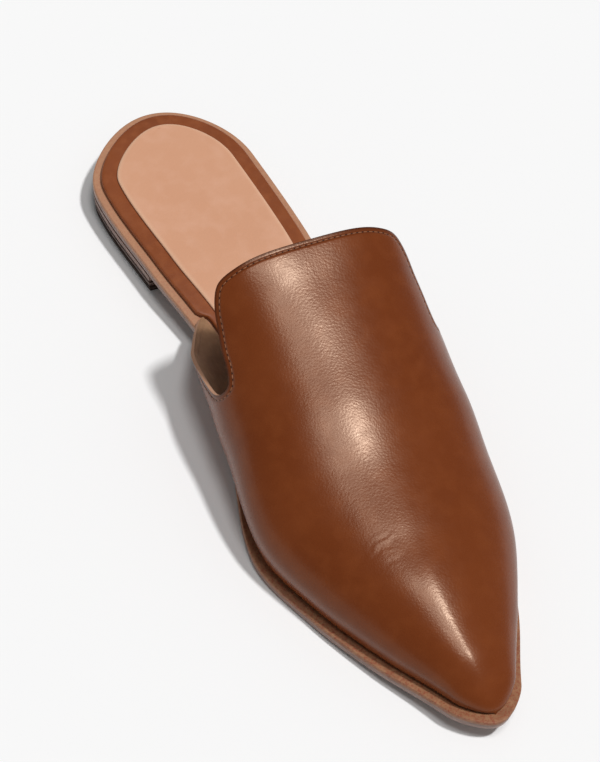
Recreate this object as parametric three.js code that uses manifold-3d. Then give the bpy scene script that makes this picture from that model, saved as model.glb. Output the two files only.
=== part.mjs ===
// Mule shoe, right foot: a pointed leather mule on a thin layered sole with a low stacked heel.
//
// Frame: millimetres, +Z up, toe towards -Y, heel towards +Y, inner (big-toe) side towards +X.
// Origin: the middle of the footprint, on the floor. A length "u" is measured from the back of
// the heel towards the toe, so y = SOLE_LENGTH / 2 - u.

import * as THREE from "three";
import { mergeVertices } from "three/addons/utils/BufferGeometryUtils.js";
import Module from "manifold-3d";

// ---------------------------------------------------------------- driving dimensions, mm
const SOLE_LENGTH = 270;
const BALL_WIDTH = 84.6;
const GAP = 0.3; // clearance between pieces that lie on each other

const TOP_PIECE = 3.0; // rubber under the heel
const HEEL_LIFT = 2.4; // one leather layer of the stacked heel
const HEEL_LIFTS = 2;
const OUTSOLE = 2.5;
const MIDSOLE = 1.5;
const INSOLE = 1.8;
const PAD = 1.0;
const WALL = 2.0; // leather and lining of the upper together

const FOREFOOT = OUTSOLE + GAP + MIDSOLE; // top of the midsole under the ball
const HEEL_SEAT = FOREFOOT + GAP + TOP_PIECE + HEEL_LIFTS * (HEEL_LIFT + GAP); // and at the heel
const TOE_SPRING = 6.8;
const SEAT_ENDS = 0.25; // these three are shares of the length
const ARCH_ENDS = 0.62;
const SPRING_STARTS = 0.7;

const HEEL_ROUND = 30; // how far the curve of the heel reaches forward
const HEEL_SQUARENESS = 2.2; // 2 would make that curve an ellipse
const TOE_ROUND = 11; // how far the curve of the toe reaches back
const HEEL_BREAST = 66; // front face of the heel
const HEEL_TAPER = 0.3; // how much narrower the heel gets for each millimetre down
const OUTSOLE_INSET = 0.3; // the midsole stands this far proud of the outsole

const RIM_INSET = 2.8; // from the sole's edge to the insole where it shows
const FEATHER_INSET = 3.1; // from the sole's edge to the outside of the upper
const TUCK_INSET = FEATHER_INSET + WALL + 2 * GAP; // to the insole's edge inside the upper
const TUCK_FROM = 78; // the insole steps in between these two to pass inside the upper
const TUCK_TO = 88;
const PAD_INSET = 8.4;
const PAD_END = 214;

const LAST_START = 84; // the upper's loft begins here, behind the tail of its wings
const NOSE = 14; // length over which the crest drops to the toe

// Outline of the sole. at: share of the length; width: share of the ball width;
// swing: how far the middle lies towards the inner side.
const SOLE_OUTLINE = [
  { at: 0.0, width: 0.58, swing: -4.0 },
  { at: 0.1, width: 0.71, swing: -5.6 },
  { at: 0.25, width: 0.7, swing: -1.6 },
  { at: 0.4, width: 0.63, swing: 1.9 },
  { at: 0.55, width: 0.82, swing: -0.4 },
  { at: 0.68, width: 1.0, swing: -0.8 },
  { at: 0.78, width: 0.865, swing: 1.4 },
  { at: 0.87, width: 0.625, swing: 2.4 },
  { at: 0.94, width: 0.385, swing: 2.9 },
  { at: 1.0, width: 0.2, swing: 3.0 },
];

// Sections of the last, at the outside of the leather. crest: height of the top line above the
// floor; ridge: its sideways place; outer, inner: how far the little-toe and the big-toe side
// swell past the feather line; rise: height of that widest place above the feather line;
// full: exponent of the superellipse from there to the crest.
const LAST = [
  { at: 0.3, crest: 76, ridge: 3.2, outer: 12.0, inner: 12.0, rise: 20, full: 3.2 },
  { at: 0.41, crest: 67, ridge: 3.2, outer: 16.0, inner: 15.5, rise: 20, full: 3.1 },
  { at: 0.46, crest: 62, ridge: 2.7, outer: 14.5, inner: 15.5, rise: 20, full: 2.7 },
  { at: 0.51, crest: 57.5, ridge: 2.2, outer: 11.5, inner: 14.0, rise: 20, full: 2.4 },
  { at: 0.6, crest: 49.5, ridge: 1.2, outer: 6.5, inner: 9.0, rise: 17, full: 2.25 },
  { at: 0.68, crest: 41.5, ridge: 0.7, outer: 3.0, inner: 3.6, rise: 12, full: 2.15 },
  { at: 0.77, crest: 34, ridge: 1.2, outer: 2.0, inner: 3.2, rise: 9, full: 2.1 },
  { at: 0.83, crest: 30, ridge: 1.9, outer: 1.2, inner: 2.0, rise: 8, full: 2.0 },
  { at: 0.89, crest: 27, ridge: 2.4, outer: 0.8, inner: 1.0, rise: 7, full: 2.0 },
  { at: 1.0, crest: 23, ridge: 3.0, outer: 0.3, inner: 0.3, rise: 5, full: 2.0 },
];

// Free edge of the upper seen from the side: along the low wing, round the notch, up the side of
// the vamp and over the throat. z: height above the floor.
const FREE_EDGE = [
  { u: 89.5, z: 5 },
  { u: 91.8, z: 13.5 },
  { u: 98, z: 19.5 },
  { u: 108, z: 23.8 },
  { u: 118, z: 26.2 },
  { u: 128, z: 27.6 },
  { u: 134.2, z: 28.8 },
  { u: 137.2, z: 31.5 },
  { u: 137.4, z: 35.2 },
  { u: 134.8, z: 40 },
  { u: 129, z: 45.6 },
  { u: 120.8, z: 51 },
  { u: 113.8, z: 56 },
  { u: 111.4, z: 61 },
  { u: 110.7, z: 66 },
  { u: 110.5, z: 84 },
];

// Rings of each flat layer from its bottom up. inset: further in than the layer's own outline;
// lift: height above its underside.
const OUTSOLE_RINGS = [
  { inset: 0.5, lift: 0 },
  { inset: 0, lift: 0.5 },
  { inset: 0, lift: OUTSOLE },
];
const MIDSOLE_RINGS = [
  { inset: 0, lift: 0 },
  { inset: 0, lift: 1.1 },
  { inset: 0.3, lift: MIDSOLE },
];
const INSOLE_RINGS = [
  { inset: 0, lift: 0 },
  { inset: 0, lift: 1.2 },
  { inset: 0.6, lift: INSOLE },
];
const PAD_RINGS = [
  { inset: 0, lift: 0 },
  { inset: 0, lift: 0.3 },
  { inset: 1.0, lift: PAD },
];

// ---------------------------------------------------------------- detail of the faceted solids
const OUTLINE_STEPS = 260; // samples of the outline before it is moved inward
const SLAB_ROWS = 54;
const LAST_ROWS = 44;
const LOWER_STEPS = 4; // from the feather line to the widest place
const UPPER_STEPS = 9; // from there to the crest
const EDGE_STEPS = 60;
const END_FLAT = 0.1; // a round end stops this short, at a narrow flat
const MERGE_DISTANCE = 1e-4;
const OVERRUN = 4; // the hollow runs out past the loft's open sides by this much
const CUT_HALF_WIDTH = 70;

const wasm = await Module();
wasm.setup();

// ---------------------------------------------------------------- curves
// A smooth function of u through one column of a table.
function through(table, column) {
  const us = table.map((row) => row.at * SOLE_LENGTH);
  const values = table.map((row) => row[column]);
  const last = us.length - 1;
  const slopeAt = (i) => {
    const before = Math.max(i - 1, 0);
    const after = Math.min(i + 1, last);
    return (values[after] - values[before]) / (us[after] - us[before]);
  };
  return (u) => {
    const place = THREE.MathUtils.clamp(u, us[0], us[last]);
    const next = Math.max(us.findIndex((knot) => knot >= place), 1);
    const i = next - 1;
    const span = us[next] - us[i];
    const t = (place - us[i]) / span;
    const blend = THREE.MathUtils.smoothstep(t, 0, 1);
    const level = THREE.MathUtils.lerp(values[i], values[next], blend);
    const leaving = slopeAt(i) * t * (1 - t) ** 2;
    const arriving = slopeAt(next) * t ** 2 * (t - 1);
    return level + span * (leaving + arriving);
  };
}

// A quarter round from 0 at distance 0 to 1 at distance 1 and beyond, an ellipse at squareness 2.
function roundOff(distance, squareness = 2) {
  return Math.sqrt(1 - THREE.MathUtils.clamp(1 - distance, 0, 1) ** squareness);
}

const outlineWidth = through(SOLE_OUTLINE, "width");
const outlineSwing = through(SOLE_OUTLINE, "swing");
const last = {
  crest: through(LAST, "crest"),
  ridge: through(LAST, "ridge"),
  outer: through(LAST, "outer"),
  inner: through(LAST, "inner"),
  rise: through(LAST, "rise"),
  full: through(LAST, "full"),
};

function soleHalfWidth(u) {
  const heel = roundOff(u / HEEL_ROUND, HEEL_SQUARENESS);
  const toe = roundOff((SOLE_LENGTH - u) / TOE_ROUND);
  return (outlineWidth(u) * BALL_WIDTH * heel * toe) / 2;
}

// Height of the midsole's top: level heel seat, arch, level forefoot, toe spring.
function soleTop(u) {
  const at = u / SOLE_LENGTH;
  const arch = THREE.MathUtils.smoothstep(at, SEAT_ENDS, ARCH_ENDS);
  const spring = Math.max((at - SPRING_STARTS) / (1 - SPRING_STARTS), 0);
  return THREE.MathUtils.lerp(HEEL_SEAT, FOREFOOT, arch) + TOE_SPRING * spring ** 2;
}

// One edge of the sole moved inward, as a function of u. side: -1 outer, +1 inner.
function insetEdge(side, inset) {
  const edge = [];
  for (let i = 0; i <= OUTLINE_STEPS; i += 1) {
    const u = (SOLE_LENGTH * (1 - Math.cos((Math.PI * i) / OUTLINE_STEPS))) / 2;
    edge.push({ u, x: outlineSwing(u) + side * soleHalfWidth(u) });
  }
  const moved = edge.map((point, i) => {
    const before = edge[Math.max(i - 1, 0)];
    const after = edge[Math.min(i + 1, OUTLINE_STEPS)];
    const du = after.u - before.u;
    const dx = after.x - before.x;
    const step = (side * inset) / Math.hypot(du, dx);
    return { u: point.u + dx * step, x: point.x - du * step };
  });
  return (u) => {
    const next = moved.findIndex((point, i) => i > 0 && point.u >= u);
    const b = moved[next > 0 ? next : OUTLINE_STEPS];
    const a = moved[(next > 0 ? next : OUTLINE_STEPS) - 1];
    return THREE.MathUtils.mapLinear(u, a.u, b.u, a.x, b.x);
  };
}

// The outline moved inward: its two ends and the x of its two edges at any u between them.
function insetOutline(inset) {
  return {
    from: inset,
    to: SOLE_LENGTH - inset,
    outer: insetEdge(-1, inset),
    inner: insetEdge(1, inset),
  };
}

// The insole's outline: the visible rim at the heel, tucked inside the upper further forward.
function insoleOutline(inset) {
  const rim = insetOutline(RIM_INSET + inset);
  const tuck = insetOutline(TUCK_INSET + inset);
  const mix = (u) => THREE.MathUtils.smoothstep(u, TUCK_FROM, TUCK_TO);
  return {
    from: rim.from,
    to: tuck.to,
    outer: (u) => THREE.MathUtils.lerp(rim.outer(u), tuck.outer(u), mix(u)),
    inner: (u) => THREE.MathUtils.lerp(rim.inner(u), tuck.inner(u), mix(u)),
  };
}

// ---------------------------------------------------------------- solids
function toManifold(geometry) {
  const bare = geometry.index ? geometry : geometry.clone();
  bare.deleteAttribute("normal");
  bare.deleteAttribute("uv");
  const merged = mergeVertices(bare, MERGE_DISTANCE);
  const mesh = new wasm.Mesh({
    numProp: 3,
    vertProperties: new Float32Array(merged.attributes.position.array),
    triVerts: new Uint32Array(merged.index.array),
  });
  return new wasm.Manifold(mesh);
}

function toGeometry(solid) {
  const mesh = solid.getMesh();
  const geometry = new THREE.BufferGeometry();
  geometry.setAttribute("position", new THREE.Float32BufferAttribute(mesh.vertProperties, 3));
  geometry.setIndex(Array.from(mesh.triVerts));
  geometry.computeVertexNormals();
  return geometry;
}

// A closed solid from rings with equal numbers of points. A ring runs down one side and back up
// the other, so point i faces point count - 1 - i, and the end rings are closed between them.
function solidFromRings(rings) {
  const count = rings[0].length;
  const top = rings.length - 1;
  const at = (ring, i) => ring * count + (i % count);
  const index = [];
  for (let ring = 0; ring < top; ring += 1) {
    for (let i = 0; i < count; i += 1) {
      index.push(at(ring, i), at(ring, i + 1), at(ring + 1, i + 1));
      index.push(at(ring, i), at(ring + 1, i + 1), at(ring + 1, i));
    }
  }
  for (let i = 0; i + 1 < count - 1 - i; i += 1) {
    const facing = count - 1 - i;
    index.push(at(0, i), at(0, facing), at(0, facing - 1));
    index.push(at(top, i), at(top, facing - 1), at(top, facing));
    if (i + 1 < facing - 1) {
      index.push(at(0, i), at(0, facing - 1), at(0, i + 1));
      index.push(at(top, i), at(top, i + 1), at(top, facing - 1));
    }
  }
  const geometry = new THREE.BufferGeometry();
  geometry.setAttribute("position", new THREE.Float32BufferAttribute(rings.flat(2), 3));
  geometry.setIndex(index);
  return geometry;
}

// A flat layer of the sole. outline(inset) gives its outline; base(u) is its underside's height;
// a layer with a front stops there in a straight edge, and any other runs to the toe.
function layer(outline, rings, base, front) {
  const turn = front === undefined ? Math.PI : Math.PI / 2;
  const points = rings.map((ring) => {
    const edge = outline(ring.inset);
    const start = edge.from + END_FLAT;
    const end = front === undefined ? edge.to - END_FLAT : front;
    const down = [];
    const up = [];
    for (let i = 0; i <= SLAB_ROWS; i += 1) {
      const share = (1 - Math.cos((turn * i) / SLAB_ROWS)) / (1 - Math.cos(turn));
      const u = THREE.MathUtils.lerp(start, end, share);
      const z = base(u) + ring.lift;
      down.push([edge.outer(u), SOLE_LENGTH / 2 - u, z]);
      up.unshift([edge.inner(u), SOLE_LENGTH / 2 - u, z]);
    }
    return [...down, ...up];
  });
  return solidFromRings(points);
}

// One section of the last from the outer feather line over the crest to the inner one.
// inset: 0 for the outside of the leather, WALL for the inside; overrun: how far the sides run
// on straight down below the feather line.
function lastSection(outline, u, inset, overrun) {
  const nose = roundOff((outline.to - u) / NOSE);
  const foot = soleTop(u) + GAP;
  const height = (last.crest(u) - inset - foot) * nose;
  const rise = last.rise(u) * nose;
  const power = 2 / last.full(u);
  const sideOf = (feather, swell) => {
    const points = [];
    if (overrun > 0) {
      points.push([feather, SOLE_LENGTH / 2 - u, foot - overrun]);
    }
    for (let i = 0; i <= LOWER_STEPS; i += 1) {
      const t = i / LOWER_STEPS;
      const x = feather + swell * Math.sin((t * Math.PI) / 2);
      points.push([x, SOLE_LENGTH / 2 - u, foot + rise * t]);
    }
    for (let i = 1; i <= UPPER_STEPS; i += 1) {
      const angle = (i / UPPER_STEPS) * (Math.PI / 2);
      const away = Math.max(Math.cos(angle), 0) ** power;
      const x = THREE.MathUtils.lerp(last.ridge(u), feather + swell, i < UPPER_STEPS ? away : 0);
      const z = foot + rise + (height - rise) * Math.sin(angle) ** power;
      points.push([x, SOLE_LENGTH / 2 - u, z]);
    }
    return points;
  };
  const outer = sideOf(outline.outer(u), -last.outer(u) * nose);
  const inner = sideOf(outline.inner(u), last.inner(u) * nose);
  return [...outer, ...inner.reverse().slice(1)];
}

// The last as a filled solid, from the toe back to `from`.
function lastSolid(inset, from, overrun) {
  const outline = insetOutline(FEATHER_INSET + inset);
  const sections = [];
  for (let i = LAST_ROWS; i >= 0; i -= 1) {
    const share = Math.sin(((i / LAST_ROWS) * Math.PI) / 2);
    const u = THREE.MathUtils.lerp(from, outline.to - END_FLAT, share);
    sections.push(lastSection(outline, u, inset, overrun));
  }
  return toManifold(solidFromRings(sections));
}

// Everything behind the free edge, right across the shoe.
function behindFreeEdge() {
  const knots = FREE_EDGE.map((row) => new THREE.Vector3(SOLE_LENGTH / 2 - row.u, row.z, 0));
  const curve = new THREE.CatmullRomCurve3(knots, false, "centripetal");
  const outline = curve.getPoints(EDGE_STEPS).map((point) => new THREE.Vector2(point.x, point.y));
  const behind = SOLE_LENGTH / 2 - LAST_START + OVERRUN;
  outline.push(new THREE.Vector2(behind, FREE_EDGE.at(-1).z), new THREE.Vector2(behind, FREE_EDGE[0].z));
  const settings = { depth: 2 * CUT_HALF_WIDTH, bevelEnabled: false };
  const geometry = new THREE.ExtrudeGeometry(new THREE.Shape(outline), settings);
  const across = new THREE.Matrix4().makeBasis(
    new THREE.Vector3(0, 1, 0),
    new THREE.Vector3(0, 0, 1),
    new THREE.Vector3(1, 0, 0),
  );
  geometry.applyMatrix4(across);
  geometry.translate(-CUT_HALF_WIDTH, 0, 0);
  return toManifold(geometry);
}

// ---------------------------------------------------------------- pieces
function upperGeometry() {
  const outside = lastSolid(0, LAST_START, 0);
  const inside = lastSolid(WALL, LAST_START - OVERRUN, OVERRUN);
  return toGeometry(outside.subtract(inside).subtract(behindFreeEdge()));
}

// A level layer of the heel between two heights, tapering downwards.
function heelLayerGeometry(bottom, thickness) {
  const heelTop = HEEL_SEAT - FOREFOOT - GAP;
  const taperAt = (z) => (heelTop - z) * HEEL_TAPER;
  const rings = [
    { inset: taperAt(bottom), lift: 0 },
    { inset: taperAt(bottom + thickness), lift: thickness },
  ];
  const outline = (inset) => insetOutline(OUTSOLE_INSET + inset);
  return layer(outline, rings, () => bottom, HEEL_BREAST);
}

const outsoleOutline = (inset) => insetOutline(OUTSOLE_INSET + inset);
const padOutline = (inset) => insetOutline(PAD_INSET + inset);
const outsoleBase = (u) => soleTop(u) - FOREFOOT;
const midsoleBase = (u) => soleTop(u) - MIDSOLE;
const insoleBase = (u) => soleTop(u) + GAP;
const padBase = (u) => soleTop(u) + GAP + INSOLE + GAP;

const finishes = {
  upperLeather: new THREE.MeshStandardMaterial({ color: "#7c4426", roughness: 0.45 }),
  wrapLeather: new THREE.MeshStandardMaterial({ color: "#834e2a", roughness: 0.5 }),
  sockLeather: new THREE.MeshStandardMaterial({ color: "#d29c7c", roughness: 0.7 }),
  soleLeather: new THREE.MeshStandardMaterial({ color: "#c08c68", roughness: 0.7 }),
  edgeLeather: new THREE.MeshStandardMaterial({ color: "#86695c", roughness: 0.6 }),
  rubber: new THREE.MeshStandardMaterial({ color: "#3b322d", roughness: 0.85 }),
};

const shoe = new THREE.Group();

function addPiece(name, geometry, finish) {
  const mesh = new THREE.Mesh(geometry, finish);
  mesh.name = name;
  shoe.add(mesh);
}

addPiece("upper", upperGeometry(), finishes.upperLeather);
addPiece("sock_pad", layer(padOutline, PAD_RINGS, padBase, PAD_END), finishes.sockLeather);
addPiece("insole", layer(insoleOutline, INSOLE_RINGS, insoleBase), finishes.wrapLeather);
addPiece("midsole", layer(insetOutline, MIDSOLE_RINGS, midsoleBase), finishes.soleLeather);
addPiece("outsole", layer(outsoleOutline, OUTSOLE_RINGS, outsoleBase), finishes.edgeLeather);
for (let i = 0; i < HEEL_LIFTS; i += 1) {
  const bottom = TOP_PIECE + GAP + i * (HEEL_LIFT + GAP);
  addPiece(`heel_lift_${i + 1}`, heelLayerGeometry(bottom, HEEL_LIFT), finishes.edgeLeather);
}
addPiece("top_piece", heelLayerGeometry(0, TOP_PIECE), finishes.rubber);

export default shoe;
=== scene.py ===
"""Mule shoe, right foot: the leather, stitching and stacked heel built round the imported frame.

Lengths are millimetres in every table and class, and become metres only where a vertex, a light
or a texture scale is set. A length "u" is measured from the back of the heel towards the toe.
+Z is up, the toe points to -Y and the inner (big-toe) side to +X.
"""

from __future__ import annotations

import logging
import math
from collections.abc import Callable
from dataclasses import dataclass
from enum import Enum
from typing import Any, NamedTuple

import bmesh
import bpy
import numpy as np
from mathutils import Matrix, Vector
from mathutils.bvhtree import BVHTree

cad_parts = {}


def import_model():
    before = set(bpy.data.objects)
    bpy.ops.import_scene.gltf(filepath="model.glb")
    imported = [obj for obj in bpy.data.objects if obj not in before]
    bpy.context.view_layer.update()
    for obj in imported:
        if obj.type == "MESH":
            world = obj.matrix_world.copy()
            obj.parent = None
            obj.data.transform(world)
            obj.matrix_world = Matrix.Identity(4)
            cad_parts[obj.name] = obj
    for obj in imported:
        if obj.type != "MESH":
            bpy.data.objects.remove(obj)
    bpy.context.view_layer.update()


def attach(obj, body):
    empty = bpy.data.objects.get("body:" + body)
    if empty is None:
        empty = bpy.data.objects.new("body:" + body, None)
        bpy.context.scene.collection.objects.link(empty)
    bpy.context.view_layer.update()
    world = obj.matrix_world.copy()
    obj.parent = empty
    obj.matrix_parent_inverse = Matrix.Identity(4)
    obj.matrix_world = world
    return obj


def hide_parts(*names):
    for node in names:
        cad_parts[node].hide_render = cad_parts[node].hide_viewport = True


MM = 0.001
WELD = 1e-3  # mm, below which two points of a grid are one
CLEARANCE = 0.3  # mm between neighbouring solids of the frame
CONTACT = 0.28  # mm of it that a layer's underside closes
WAVE_PERIOD = 0.314  # m between the bands of a wave texture at a scale of 1
BODY = "root"

log = logging.getLogger("mule")
Curve = Callable[[np.ndarray], np.ndarray]
Colour = tuple[float, float, float, float]
Socket = bpy.types.NodeSocket


# ------------------------------------------------------------------------------ sizes of the shoe
class OutlineRow(NamedTuple):
    """One width of the sole's outline."""

    at: float  # share of the length
    width: float  # share of the ball width
    swing: float  # how far the middle lies towards the inner side


class LastRow(NamedTuple):
    """One section of the last, at the outside of the leather."""

    at: float  # share of the length
    crest: float  # height of the top line above the floor
    ridge: float  # its sideways place
    outer: float  # how far the little-toe side swells past the feather line
    inner: float  # and the big-toe side
    rise: float  # height of that widest place above the feather line
    full: float  # exponent of the superellipse from there to the crest


class EdgeRow(NamedTuple):
    """One point of the upper's free edge seen from the side."""

    u: float
    z: float


class Ring(NamedTuple):
    """One ring of a sole layer's profile, from its underside over its edge to its top."""

    inset: float  # further in than the layer's own outline
    lift: float  # height above its underside
    trim: float  # how far it belongs to the buffed or skived corner


def profile(*rows: tuple[float, float, float]) -> tuple[Ring, ...]:
    """A layer's profile from rows of inset, lift and trim."""
    return tuple(Ring(*row) for row in rows)


class Hollow(NamedTuple):
    """A soft trough pressed into the vamp."""

    u: float
    across: float  # place from -1, the outer feather line, over 0, the crest, to 1
    length: float  # half length along the shoe
    width: float  # half width in the same units as across
    depth: float


SOLE_OUTLINE = (
    OutlineRow(0.0, 0.58, -4.0),
    OutlineRow(0.1, 0.71, -5.6),
    OutlineRow(0.25, 0.7, -1.6),
    OutlineRow(0.4, 0.63, 1.9),
    OutlineRow(0.55, 0.82, -0.4),
    OutlineRow(0.68, 1.0, -0.8),
    OutlineRow(0.78, 0.865, 1.4),
    OutlineRow(0.87, 0.625, 2.4),
    OutlineRow(0.94, 0.385, 2.9),
    OutlineRow(1.0, 0.2, 3.0),
)

LAST_SECTIONS = (
    LastRow(0.3, 76, 3.2, 12.0, 12.0, 20, 3.1),
    LastRow(0.41, 67, 2.2, 16.0, 15.8, 20, 3.15),
    LastRow(0.46, 62, 1.7, 14.5, 15.5, 20, 2.6),
    LastRow(0.51, 57.5, 1.2, 11.5, 14.0, 20, 2.25),
    LastRow(0.6, 49.5, 0.2, 6.5, 9.0, 17, 2.1),
    LastRow(0.68, 41.8, -0.6, 3.0, 3.6, 12, 1.98),
    LastRow(0.77, 35.6, -1.4, 2.0, 3.2, 9, 1.93),
    LastRow(0.83, 31.9, -1.6, 1.2, 2.0, 8, 1.86),
    LastRow(0.89, 26.9, -0.9, 0.8, 1.0, 6.5, 1.78),
    LastRow(1.0, 18.2, 1.8, 0.3, 0.3, 3.5, 1.7),
)

FREE_EDGE = (
    EdgeRow(89.5, 5),
    EdgeRow(92.5, 13),
    EdgeRow(100, 18),
    EdgeRow(107, 21.5),
    EdgeRow(114, 25),
    EdgeRow(121.5, 28),
    EdgeRow(129.5, 30.5),
    EdgeRow(135, 32.5),
    EdgeRow(138, 35),
    EdgeRow(139.5, 38),
    EdgeRow(139, 41),
    EdgeRow(135, 43.5),
    EdgeRow(129, 46),
    EdgeRow(120.5, 51),
    EdgeRow(115, 55.5),
    EdgeRow(112, 59),
    EdgeRow(111, 63.5),
    EdgeRow(110.5, 67),
    EdgeRow(110.5, 84),
)

HOLLOWS = (
    Hollow(150, -0.12, 13, 0.3, 0.28),
    Hollow(213, -0.1, 8, 0.35, 0.22),
    Hollow(178, 0.3, 18, 0.2, 0.2),
)


# ------------------------------------------------------------------------------ small helpers
def linear(shade: str) -> Colour:
    """Turns an sRGB hex value such as "#7e4428" to linear RGBA.

    Args:
        shade: The sRGB hex value.

    Returns:
        Linear red, green and blue, with an alpha of 1.
    """
    parts = [int(shade[i : i + 2], 16) / 255 for i in (1, 3, 5)]
    red, green, blue = (p / 12.92 if p <= 0.04045 else ((p + 0.055) / 1.055) ** 2.4 for p in parts)
    return red, green, blue, 1.0


def through(places: np.ndarray, values: np.ndarray) -> Curve:
    """A smooth curve through table values, with slopes from the neighbouring rows.

    Args:
        places: Where the values stand, increasing.
        values: The values.

    Returns:
        A function of an array of places.
    """
    slopes = np.gradient(values, places)
    slopes[1:-1] = (values[2:] - values[:-2]) / (places[2:] - places[:-2])

    def curve(at: np.ndarray) -> np.ndarray:
        """The curve's values.

        Args:
            at: Places, held within the table's ends.

        Returns:
            The values.
        """
        at = np.clip(at, places[0], places[-1])
        i = np.clip(np.searchsorted(places, at, side="right") - 1, 0, len(places) - 2)
        span = places[i + 1] - places[i]
        t = (at - places[i]) / span
        blend = ease(t)
        bend = slopes[i] * t * (1 - t) ** 2 + slopes[i + 1] * t**2 * (t - 1)
        return values[i] * (1 - blend) + values[i + 1] * blend + span * bend

    return curve


def ease(t: np.ndarray) -> np.ndarray:
    """A smooth step from 0 to 1 for t from 0 to 1."""
    t = np.clip(t, 0, 1)
    return t * t * (3 - 2 * t)


def round_off(distance: np.ndarray, squareness: float = 2) -> np.ndarray:
    """A quarter round from 0 at distance 0 to 1 at distance 1 and beyond.

    Args:
        distance: Distance as a share of the round's reach.
        squareness: 2 gives an ellipse.

    Returns:
        The height of the round.
    """
    return np.sqrt(1 - np.clip(1 - distance, 0, 1) ** squareness)


def grid_mesh(points: np.ndarray, marks: dict[str, np.ndarray]) -> bmesh.types.BMesh:
    """A grid whose vertices are moved to given places.

    Args:
        points: Places in mm, indexed by row, column and axis.
        marks: Float values to keep with the vertices, by name, indexed by row and column.

    Returns:
        The grid in metres, not welded yet.
    """
    rows, columns = points.shape[:2]
    bm = bmesh.new()
    layers = {name: bm.verts.layers.float.new(name) for name in marks}
    bmesh.ops.create_grid(bm, x_segments=columns - 1, y_segments=rows - 1, size=1)
    flat = points.reshape(-1, 3) * MM
    for vert, place in zip(bm.verts, flat):
        vert.co = place
    for name, layer in layers.items():
        for vert, value in zip(bm.verts, marks[name].reshape(-1)):
            vert[layer] = value
    return bm


def weld(bm: bmesh.types.BMesh) -> None:
    """Joins the grid's seams and poles, and turns its faces outwards."""
    bmesh.ops.remove_doubles(bm, verts=bm.verts, dist=WELD * MM)
    bmesh.ops.recalc_face_normals(bm, faces=bm.faces)


def add_object(name: str, bm: bmesh.types.BMesh, *finishes: bpy.types.Material) -> bpy.types.Object:
    """Makes a smooth-shaded object at the origin from a bmesh and frees the bmesh.

    Args:
        name: The piece's name.
        bm: Its mesh, in metres and in place.
        finishes: Its materials, in slot order.

    Returns:
        The object.
    """
    mesh = bpy.data.meshes.new(name)
    bm.to_mesh(mesh)
    bm.free()
    for polygon in mesh.polygons:
        polygon.use_smooth = True
    for finish in finishes:
        mesh.materials.append(finish)
    piece = bpy.data.objects.new(name, mesh)
    bpy.context.scene.collection.objects.link(piece)
    return piece


def place_piece(piece: bpy.types.Object, node: str | None) -> None:
    """Fastens a finished piece to the frame and reports it.

    Args:
        piece: The piece.
        node: The frame's node that it stands for, if any.
    """
    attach(piece, BODY)
    if node:
        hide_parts(node)
    log.info("%s: %d faces, stands for %s", piece.name, len(piece.data.polygons), node)


# ------------------------------------------------------------------------------ the last and sole
@dataclass(frozen=True)
class Sole:
    """The sole's outline and the height of its top along the shoe."""

    length: float = 270
    ball_width: float = 84.6
    heel_round: float = 30
    heel_squareness: float = 2.2
    toe_round: float = 11
    heel_seat: float = 13.0
    forefoot: float = 4.3
    toe_spring: float = 6.8
    seat_ends: float = 0.25
    arch_ends: float = 0.62
    spring_starts: float = 0.7
    samples: int = 1600

    def column(self, name: str) -> Curve:
        """A smooth function of u through one column of the outline table."""
        at = np.array([row.at for row in SOLE_OUTLINE]) * self.length
        return through(at, np.array([getattr(row, name) for row in SOLE_OUTLINE]))

    def top(self, u: np.ndarray) -> np.ndarray:
        """Height of the tan layer's top: level heel, arch, level forefoot, toe spring.

        Args:
            u: Places along the shoe.

        Returns:
            The heights.
        """
        at = np.asarray(u) / self.length
        arch = ease((at - self.seat_ends) / (self.arch_ends - self.seat_ends))
        spring = np.clip((at - self.spring_starts) / (1 - self.spring_starts), 0, None)
        level = self.heel_seat + (self.forefoot - self.heel_seat) * arch
        return level + self.toe_spring * spring**2

    def edge(self, side: int, inset: float) -> Curve:
        """One edge of the outline moved inward.

        Args:
            side: -1 for the outer side, 1 for the inner side.
            inset: How far inward.

        Returns:
            The edge's x as a function of u.
        """
        u = self.length * (1 - np.cos(np.linspace(0, math.pi, self.samples))) / 2
        heel = round_off(u / self.heel_round, self.heel_squareness)
        toe = round_off((self.length - u) / self.toe_round)
        half = self.column("width")(u) * self.ball_width * heel * toe / 2
        x = self.column("swing")(u) + side * half
        du = np.gradient(u)
        dx = np.gradient(x)
        step = side * inset / np.hypot(du, dx)
        moved_u = np.maximum.accumulate(u + dx * step)
        moved_x = x - du * step
        return lambda at: np.interp(at, moved_u, moved_x)


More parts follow.
